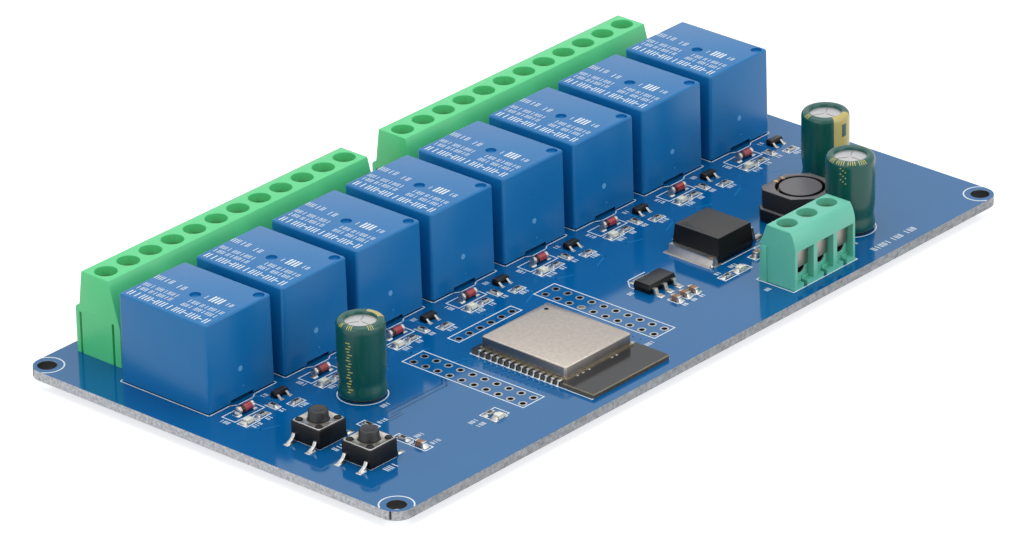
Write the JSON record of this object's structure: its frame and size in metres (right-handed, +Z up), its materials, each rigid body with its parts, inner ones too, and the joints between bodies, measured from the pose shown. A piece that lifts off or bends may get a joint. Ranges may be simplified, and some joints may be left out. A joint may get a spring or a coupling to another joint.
{
  "type": "relay module board",
  "caption": "Relay module board: a row of relays with screw terminals behind them, and a supply terminal, wireless module, push buttons and control parts in front.",
  "frame": {"origin": "under the middle of the board, at the level of the tips of the soldered leads it stands on", "axes": "+X along the row of relays, +Y from the control edge to the terminal edge, +Z up from the board"},
  "size_m": [0.1474, 0.0794, 0.0184],
  "materials": {
    "board_laminate": "gloss solder mask over glass fibre laminate",
    "relay_case": "satin moulded",
    "relay_base": "matte moulded",
    "rear_terminal_plastic": "satin moulded",
    "supply_terminal_plastic": "satin moulded",
    "terminal_metal": "zinc plated",
    "tinned_leads": "tinned",
    "rubber_seal": "matte",
    "capacitor_sleeve": "gloss film over an aluminium can",
    "ferrite": "matte sintered",
    "inductor_base": "matte moulded",
    "copper_wire": "enamelled copper",
    "package_black": "matte moulded",
    "module_laminate": "satin solder mask",
    "shield_metal": "satin",
    "switch_metal": "satin",
    "button_plastic": "matte moulded",
    "switch_base": "matte moulded",
    "diode_glass": "gloss glass with tinned caps",
    "indicator_resin": "milky resin",
    "chip_resistor": "glazed, with tinned ends",
    "chip_ceramic": "ceramic, with tinned ends"
  },
  "bodies": {
    "board": {"buck_regulator_body": "package_black", "buck_regulator_leads": "tinned_leads", "capacitor_1": "capacitor_sleeve", "capacitor_2": "capacitor_sleeve", "capacitor_3": "capacitor_sleeve", "capacitor_leads": "tinned_leads", "capacitor_seals": "rubber_seal", "chip_capacitors": "chip_ceramic", "chip_resistors": "chip_resistor", "clamp_diodes": "diode_glass", "indicator_leds": "indicator_resin", "inductor_base": "inductor_base", "inductor_core": "ferrite", "inductor_shield": "ferrite", "inductor_terminals": "tinned_leads", "inductor_winding": "copper_wire", "linear_regulator_body": "package_black", "linear_regulator_leads": "tinned_leads", "pcb": "board_laminate", "rectifier": "package_black", "relay_base_1": "relay_base", "relay_base_2": "relay_base", "relay_base_3": "relay_base", "relay_base_4": "relay_base", "relay_base_5": "relay_base", "relay_base_6": "relay_base", "relay_base_7": "relay_base", "relay_base_8": "relay_base", "relay_case_1": "relay_case", "relay_case_2": "relay_case", "relay_case_3": "relay_case", "relay_case_4": "relay_case", "relay_case_5": "relay_case", "relay_case_6": "relay_case", "relay_case_7": "relay_case", "relay_case_8": "relay_case", "relay_leads": "tinned_leads", "supply_clamps": "terminal_metal", "supply_screws": "terminal_metal", "supply_terminal_block": "supply_terminal_plastic", "switch_1_base": "switch_base", "switch_1_cover": "switch_metal", "switch_1_leads": "tinned_leads", "switch_2_base": "switch_base", "switch_2_cover": "switch_metal", "switch_2_leads": "tinned_leads", "switch_domes": "switch_metal", "terminal_block_left": "rear_terminal_plastic", "terminal_block_right": "rear_terminal_plastic", "terminal_clamps": "terminal_metal", "terminal_leads": "tinned_leads", "terminal_screws": "terminal_metal", "transistor_bodies": "package_black", "transistor_leads": "tinned_leads", "wireless_module_board": "module_laminate", "wireless_module_shield": "shield_metal"},
    "button_1": {"switch_1_button": "button_plastic"},
    "button_2": {"switch_2_button": "button_plastic"}
  },
  "joints": [
    {"name": "switch_1_press", "type": "slide", "parent": "board", "child": "button_1", "axis": [0, 0, -1], "range_m": [0, 0.00025], "stiffness_N_per_m": 6300},
    {"name": "switch_2_press", "type": "slide", "parent": "board", "child": "button_2", "axis": [0, 0, -1], "range_m": [0, 0.00025], "stiffness_N_per_m": 6300}
  ]
}
